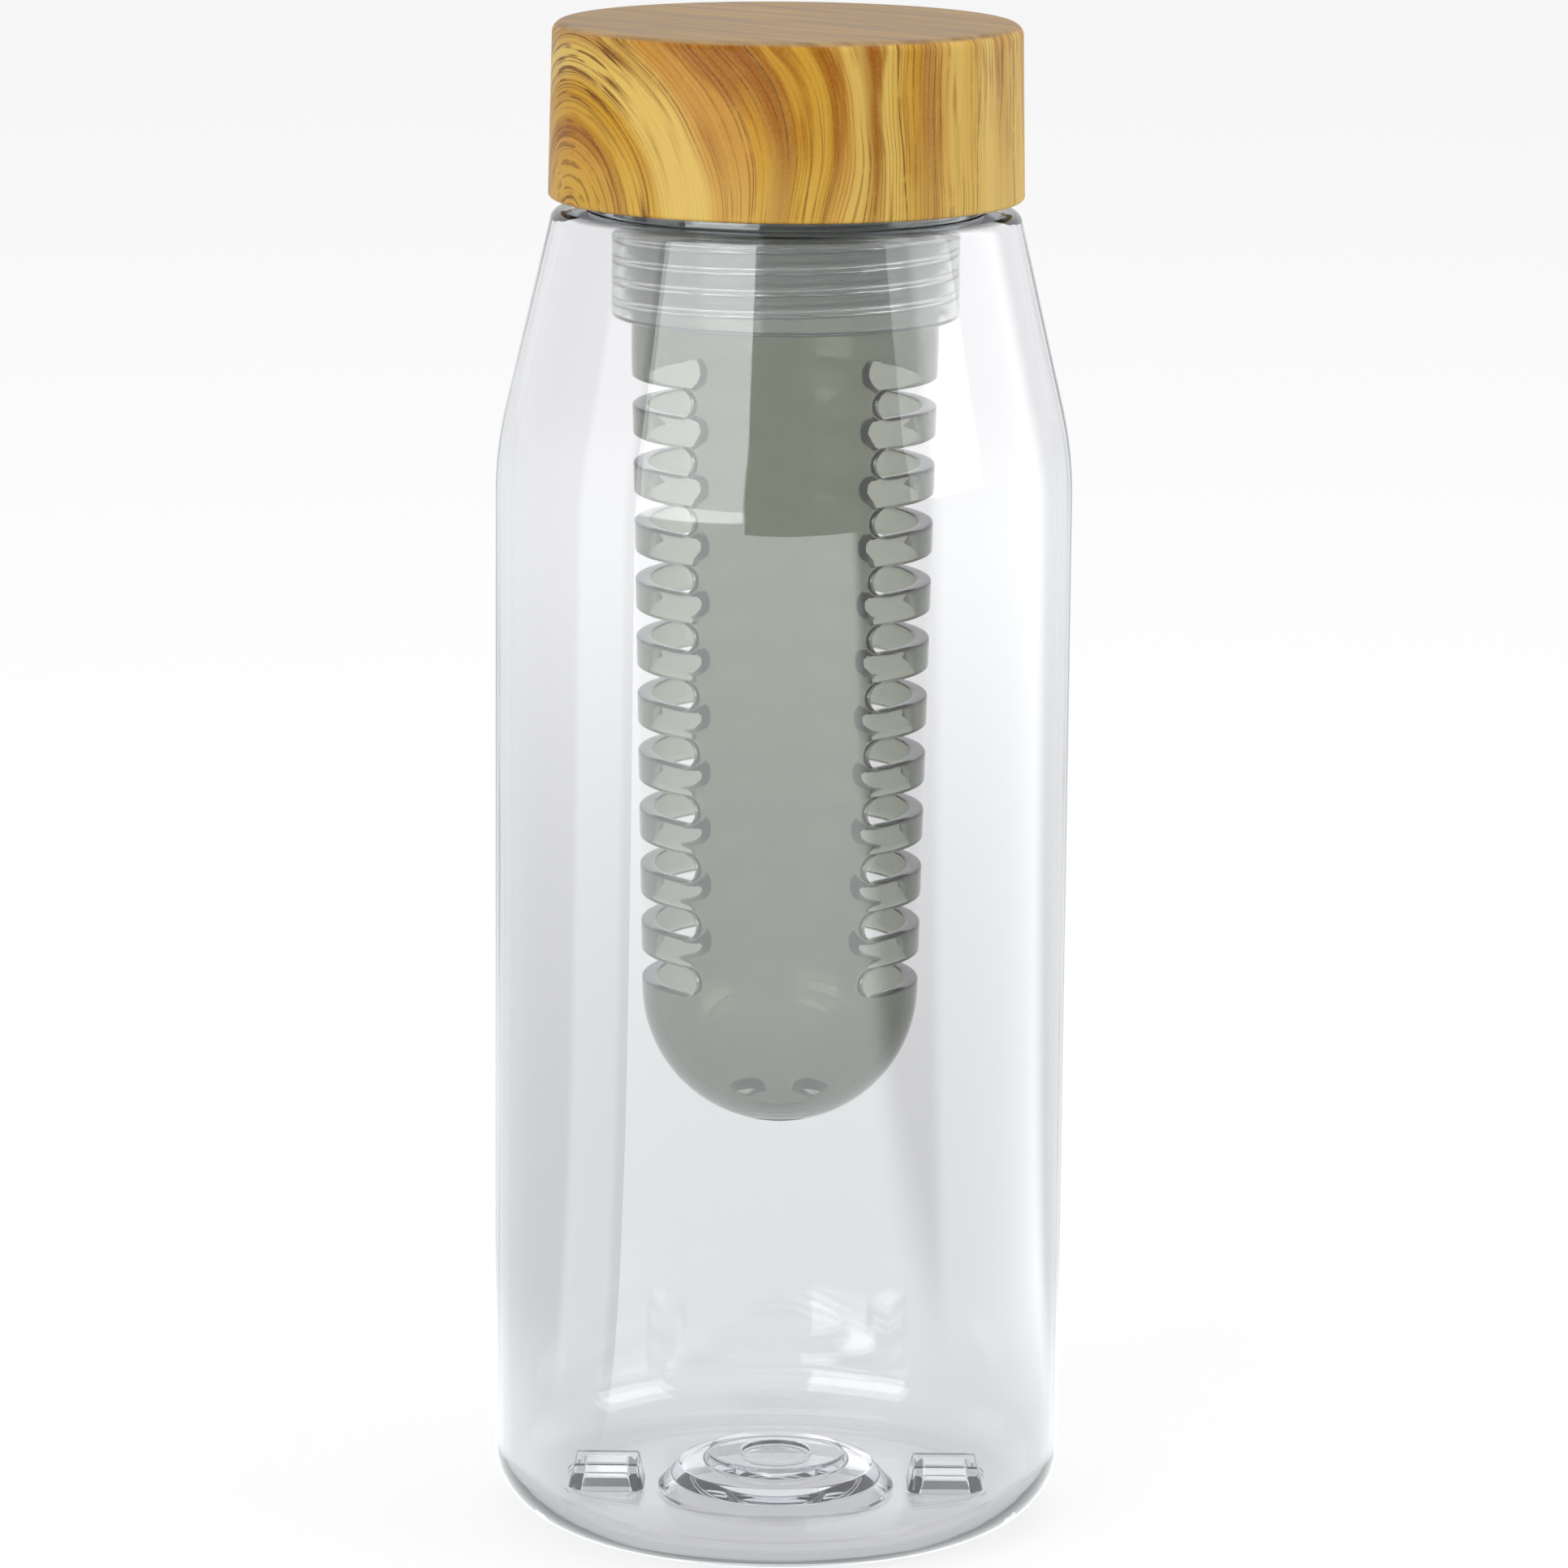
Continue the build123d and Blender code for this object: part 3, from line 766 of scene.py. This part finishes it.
# One third of the dome's foot round a drain: a curved slot on a ring about the
# axis, seen in plan, with a wall that runs straight down. Here a depth is a share.
def drainGrid(facing):
    b = basket
    low, high = b["drainCell"]
    cellSteps = round(math.pi / b["drains"] / b["step"])
    runSteps = int(b["drainHalfSweep"] / b["step"] + 0.01)  # a whole number, but for rounding
    anchor, swing, borderAngle, borderRing = pairedOutline(
        b["drainHalfSweep"], runSteps, cellSteps, b["step"], b["sideRows"], low, high)
    share, offset, depth = edgeLayers(1.0, b["edge"], b["drainShares"])
    reach = b["drainRadius"] + offset
    ring = b["drainRing"] + reach * np.sin(swing)
    angle = anchor + np.arcsin(reach * np.cos(swing) / ring)
    ring = ring * (1 - share) + borderRing * share
    angle = angle * (1 - share) + borderAngle * share + facing
    outer = b["domeCentre"] - np.sqrt(b["footRadius"] ** 2 - ring ** 2)
    inner = b["domeCentre"] - np.sqrt((b["footRadius"] - b["wall"]) ** 2 - ring ** 2)
    return np.stack([ring * np.cos(angle), ring * np.sin(angle), outer + (inner - outer) * depth], axis=-1)


# The basket is a set of grids that meet edge to edge: slotted cells on both sides,
# plain strips between them, the threaded neck above, and the dome with its drains.
def makeBasket():
    b = basket
    grids = []
    centres = b["topSlot"] - b["slotPitch"] * np.arange(b["slots"])
    borders = np.append(b["topSlot"] + b["slotPitch"] * (0.5 - np.arange(b["slots"])), b["domeCentre"])
    for row, centre in enumerate(centres):
        for facing in (0, math.pi):
            grids.append(slotGrid(centre, borders[row + 1], borders[row], facing))
    heights = np.concatenate([
        np.linspace(borders[row], borders[row + 1], b["sideRows"] + 1)[:-1] for row in range(b["slots"])])
    heights = np.append(heights, b["domeCentre"])
    halfSteps = round(math.pi / b["step"])
    for facing in (0, math.pi):
        angles = facing + np.arange(b["cellSteps"], halfSteps - b["cellSteps"] + 1) * b["step"]
        for depth in (0, b["wall"]):
            grids.append(turnedGrid(np.stack([basketRadius(heights) - depth, heights], axis=-1), angles))
    around = np.arange(2 * halfSteps + 1) * b["step"]
    inner = b["neckRadius"] - b["wall"]
    cellTop = borders[0]
    neck = roundedProfile([
        (basketRadius(cellTop), cellTop), (b["neckRadius"], b["neckBase"], 0, b["neckRows"]),
        (b["neckRadius"], b["threadFoot"], 0, b["threadRows"]), (b["neckRadius"], b["rim"], b["rimBend"]),
        (inner, b["rim"], b["rimBend"], b["neckRows"]), (inner, b["neckBase"]),
        (basketRadius(cellTop) - b["wall"], cellTop)])
    grids.append(screwGrid(turnedGrid(neck, around), **basketScrew))
    low, high = b["drainCell"]
    for radius in (b["footRadius"], b["footRadius"] - b["wall"]):
        bend = np.linspace(0, math.acos(high / radius), b["domeRows"] + 1)
        dome = np.stack([radius * np.cos(bend), b["domeCentre"] - radius * np.sin(bend)], axis=-1)
        ring = np.linspace(low, 0, b["tipRows"] + 1)
        tip = np.stack([ring, b["domeCentre"] - np.sqrt(radius ** 2 - ring ** 2)], axis=-1)
        grids.append(turnedGrid(dome, around))
        grids.append(turnedGrid(tip, around))
    for drain in range(b["drains"]):
        grids.append(drainGrid(b["firstDrain"] + drain * fullTurn / b["drains"]))
    return surfaceObject("smokeBasket", grids, smokePlastic, "basket", "infuser_basket")


# Shade painted on the walls of the slots and drains: 1 between the outer and the inner skin.
def paintedCutWallShade(radius, height):
    b = basket
    tube = basketRadius(height) - radius
    dome = b["footRadius"] - np.hypot(radius, height - b["domeCentre"])
    depth = np.where(height > b["domeCentre"], tube, dome)
    return smoothStep(*b["cutSpan"], np.minimum(depth, b["wall"] - depth)) * (height < b["neckBase"])


markVertices(makeBasket(), smokeLook["paintedShadeMask"], paintedCutWallShade)

stageLook = {
    "cameraPlace": (0.0, -0.9417, 0.2852), "cameraTilt": 11.187, "cameraRoll": 0.487,
    "lens": 165.8, "sensor": 36, "shift": 0.0016, "clip": (0.02, 50),
    # the room: brightness for surfaces, behind the plastic, and of the mirrored parts
    "room": 0.46, "behind": 0.93, "front": 0.1, "sides": 0.5, "back": 0.8,
    "rightWindow": 2.4, "leftStrip": 1.6,
    # where the mirrored parts begin and end, on the level direction's X and Y
    "frontEdge": (-0.86, -0.45), "backEdge": (0.2, 0.8),
    "rightNear": (-0.52, -0.4), "rightFar": (0.45, 0.65), "rightSide": (0.0, 0.3),
    "leftNear": (-0.47, -0.4), "leftFar": (-0.1, 0.0), "leftSide": (-0.3, 0.0),
    # the floor: its glow for the camera and through plastic, and its own white
    "floorSize": 8.0, "floorHeight": -0.00015, "floorGlow": 0.76, "floorWhite": 0.33,
    "throughSpan": (0.1, 0.9), "throughNear": 0.4, "throughFar": 0.72,
    # what a reflection finds there: the bright table with the window's part of it, and
    # more light near the bottle and at its foot; a span is in metres from the axis
    "tableFront": -1.0, "tableRight": (0.105, -0.394), "tableEdge": (-0.03, 0.05), "tableShine": 3.9,
    "window": (0.27, 1.73), "nearSpan": (0.1, 0.7), "nearTable": 0.4,
    "contactSpan": (0.07, 0.16), "contact": 1.8, "mirrorRed": 0.95, "mirrorGreen": 0.985,
}
softboxes = [
    # name, place, aimed at, width, height, brightness, colour
    ("leftBox", (-0.858, -1.106, 0.35), (0, 0, 0.12), 1.15, 1.05, 3.4, (0.96, 0.99, 1.0)),
    ("rightBox", (1.22, -0.44, 0.47), (0, 0, 0.15), 0.87, 0.7, 2.8, (0.97, 0.99, 1.0)),
    ("topBox", (0.1, 0.35, 1.5), (0, 0, 0.1), 1.2, 0.9, 1.2, (1.0, 1.0, 1.0)),
]


# The camera looks down at the bottle by its tilt, and is turned by its roll about
# the line of sight.
def makeCamera():
    look = stageLook
    tilt, roll = math.radians(look["cameraTilt"]), math.radians(look["cameraRoll"])
    level, lifted = Vector((1, 0, 0)), Vector((0, math.sin(tilt), math.cos(tilt)))
    right = level * math.cos(roll) + lifted * math.sin(roll)
    up = lifted * math.cos(roll) - level * math.sin(roll)
    back = right.cross(up)
    turn = Matrix((right, up, back)).transposed().to_4x4()
    camera = bpy.data.cameras.new("camera")
    camera.lens, camera.sensor_width, camera.shift_x = look["lens"], look["sensor"], look["shift"]
    camera.clip_start, camera.clip_end = look["clip"]
    holder = bpy.data.objects.new("camera", camera)
    holder.matrix_world = Matrix.Translation(look["cameraPlace"]) @ turn
    bpy.context.scene.collection.objects.link(holder)
    bpy.context.scene.camera = holder


# Power of a flat lamp from its brightness: watts = brightness x pi x area.
def makeSoftboxes():
    for name, place, target, width, height, brightness, colour in softboxes:
        lamp = bpy.data.lights.new(name, "AREA")
        lamp.shape, lamp.size, lamp.size_y = "RECTANGLE", width, height
        lamp.energy = brightness * math.pi * width * height
        lamp.color = colour
        holder = bpy.data.objects.new(name, lamp)
        aim = (Vector(target) - Vector(place)).to_track_quat("-Z", "Y")
        holder.matrix_world = Matrix.Translation(place) @ aim.to_matrix().to_4x4()
        holder.visible_glossy = name != "rightBox"  # the room mirror has this window
        bpy.context.scene.collection.objects.link(holder)


# The same value for red, green and blue.
def grey(tree, value):
    return addNode(tree, "ShaderNodeCombineColor", {
        "Red": value, "Green": value, "Blue": value}).outputs["Color"]


# What a reflection finds in the room by its level direction, where -Y is the front:
# dark round the camera, brighter at the sides and the back, with a wide window on the
# right and a narrow strip of light on the left.
def makeRoomMirror():
    look = stageLook
    group = bpy.data.node_groups.new("roomMirror", "ShaderNodeTree")
    for name in ("X", "Y"):
        group.interface.new_socket(name, in_out="INPUT", socket_type="NodeSocketFloat")
    group.interface.new_socket("Brightness", in_out="OUTPUT", socket_type="NodeSocketFloat")
    given = addNode(group, "NodeGroupInput")
    maths, ramped = shortForms(group)
    x, y = given.outputs["X"], given.outputs["Y"]
    length = maths("SQRT", maths("ADD", maths("MULTIPLY", x, x), maths("MULTIPLY", y, y)))
    x, y = maths("DIVIDE", x, length), maths("DIVIDE", y, length)

    # A lit part of the wall: up over one span, down over another, on one side only.
    def litPart(brightness, near, far, side):
        part = maths("MULTIPLY", ramped(y, *near, 0.0, brightness), ramped(y, *far, 1.0, 0.0))
        return maths("MULTIPLY", part, side)

    room = maths("ADD", ramped(y, *look["frontEdge"], look["front"], look["sides"]),
                 ramped(y, *look["backEdge"], 0.0, look["back"] - look["sides"]))
    right = litPart(look["rightWindow"], look["rightNear"], look["rightFar"],
                    ramped(x, *look["rightSide"], 0.0, 1.0))
    left = litPart(look["leftStrip"], look["leftNear"], look["leftFar"],
                   ramped(x, *look["leftSide"], 1.0, 0.0))
    addNode(group, "NodeGroupOutput", {"Brightness": maths("ADD", room, maths("ADD", right, left))})
    return group


# White where the camera or a ray through the plastic sees it. A surface is lit by
# the room's even light, and a reflection finds the room mirror's brightness.
def makeWorld(roomMirror):
    look = stageLook
    world = bpy.data.worlds.new("studio")
    world.use_nodes = True
    bpy.context.scene.world = world
    tree = world.node_tree
    tree.nodes.clear()

    # From low, where the mask is 0, to high, where it is 1.
    def chosen(mask, low, high):
        return addNode(tree, "ShaderNodeMapRange", {
            "Value": mask, "To Min": low, "To Max": high}).outputs["Result"]

    maths = shortForms(tree)[0]
    path = addNode(tree, "ShaderNodeLightPath")
    seen = maths("MAXIMUM", path.outputs["Is Camera Ray"], path.outputs["Is Transmission Ray"])
    direction = addNode(tree, "ShaderNodeSeparateXYZ", {
        "Vector": addNode(tree, "ShaderNodeTexCoord").outputs["Generated"]})
    shine = addNode(tree, "ShaderNodeGroup", {
        "X": direction.outputs["X"], "Y": direction.outputs["Y"]}, node_tree=roomMirror)
    room = chosen(path.outputs["Is Glossy Ray"], look["room"], shine.outputs["Brightness"])
    behind = chosen(path.outputs["Is Camera Ray"], look["behind"], 1.0)
    background = addNode(tree, "ShaderNodeBackground", {"Color": grey(tree, chosen(seen, room, behind))})
    addNode(tree, "ShaderNodeOutputWorld", {"Surface": background.outputs["Background"]})


# The floor glows for the camera and through plastic, so that it meets the white
# background, and its own lit white carries the object's soft shadow. A reflection
# finds it bright where the table mirrors the windows, and as the room is elsewhere.
def makeFloor(roomMirror):
    look = stageLook
    half = look["floorSize"] / 2
    mesh = bpy.data.meshes.new("floor")
    corners = [(-half, -half), (half, -half), (half, half), (-half, half)]
    mesh.from_pydata([(x, y, look["floorHeight"]) for x, y in corners], [], [(0, 1, 2, 3)])
    material, tree = newMaterial("floorWhite")
    maths, ramped = shortForms(tree)

    # One value where the mask is 1, the other where it is 0, as a straight mix.
    def blended(mask, inside, outside):
        return maths("ADD", maths("MULTIPLY", mask, inside),
                     maths("MULTIPLY", maths("SUBTRACT", 1.0, mask), outside))

    path = addNode(tree, "ShaderNodeLightPath")
    camera, through = path.outputs["Is Camera Ray"], path.outputs["Is Transmission Ray"]
    seen = maths("MAXIMUM", camera, through)
    mirrored = maths("MULTIPLY", path.outputs["Is Glossy Ray"], maths("SUBTRACT", 1.0, seen))
    split = addNode(tree, "ShaderNodeSeparateXYZ", {
        "Vector": addNode(tree, "ShaderNodeTexCoord").outputs["Object"]})
    x, y = split.outputs["X"], split.outputs["Y"]
    ahead, leftward = maths("MULTIPLY", y, -1.0), maths("MULTIPLY", x, -1.0)
    away = maths("SQRT", maths("ADD", maths("MULTIPLY", x, x), maths("MULTIPLY", y, y)))

    rightStart, rightSlope = look["tableRight"]
    rightEdge = maths("ADD", maths("MULTIPLY", y, rightSlope), rightStart)
    beyond = ramped(maths("SUBTRACT", x, rightEdge), *look["tableEdge"], 1.0, 0.0)
    onTable = maths("MULTIPLY", maths("GREATER_THAN", y, look["tableFront"]), beyond)
    first, last = (maths("MULTIPLY", ahead, slope) for slope in look["window"])
    inWindow = maths("MULTIPLY", maths("GREATER_THAN", leftward, first), maths("LESS_THAN", leftward, last))
    nearBottle = maths("GREATER_THAN", leftward, last)
    bright = maths("MAXIMUM", maths("MULTIPLY", onTable, maths("SUBTRACT", 1.0, nearBottle)), inWindow)
    room = addNode(tree, "ShaderNodeGroup", {"X": x, "Y": y}, node_tree=roomMirror).outputs["Brightness"]
    room = maths("ADD", room, ramped(away, *look["nearSpan"], look["nearTable"], 0.0))
    shine = blended(bright, look["tableShine"], room)
    shine = blended(ramped(away, *look["contactSpan"], 1.0, 0.0), look["contact"], shine)
    shine = maths("MULTIPLY", mirrored, shine)
    cool = addNode(tree, "ShaderNodeCombineColor", {
        "Red": maths("MULTIPLY", shine, look["mirrorRed"]),
        "Green": maths("MULTIPLY", shine, look["mirrorGreen"]), "Blue": shine})

    plastic = ramped(away, *look["throughSpan"], look["throughNear"], look["throughFar"])
    own = maths("ADD", maths("MULTIPLY", camera, look["floorGlow"]), maths("MULTIPLY", through, plastic))
    glow = addNode(tree, "ShaderNodeEmission", {"Color": (1, 1, 1, 1), "Strength": own})
    mirror = addNode(tree, "ShaderNodeEmission", {"Color": cool.outputs["Color"], "Strength": 1.0})
    white = maths("MULTIPLY", maths("SUBTRACT", 1.0, mirrored), look["floorWhite"])
    matt = addNode(tree, "ShaderNodeBsdfDiffuse", {"Color": grey(tree, white)})
    lit = addNode(tree, "ShaderNodeAddShader", {0: glow.outputs["Emission"], 1: matt.outputs["BSDF"]})
    both = addNode(tree, "ShaderNodeAddShader", {0: lit.outputs["Shader"], 1: mirror.outputs["Emission"]})
    addNode(tree, "ShaderNodeOutputMaterial", {"Surface": both.outputs["Shader"]})
    mesh.materials.append(material)
    floor = bpy.data.objects.new("floor", mesh)
    bpy.context.scene.collection.objects.link(floor)


makeCamera()
makeSoftboxes()
roomMirror = makeRoomMirror()
makeWorld(roomMirror)
makeFloor(roomMirror)
scene = bpy.context.scene
scene.view_settings.view_transform = "Standard"
scene.cycles.max_bounces = 24
scene.cycles.transmission_bounces = 24
scene.cycles.glossy_bounces = 6
print("stage set")
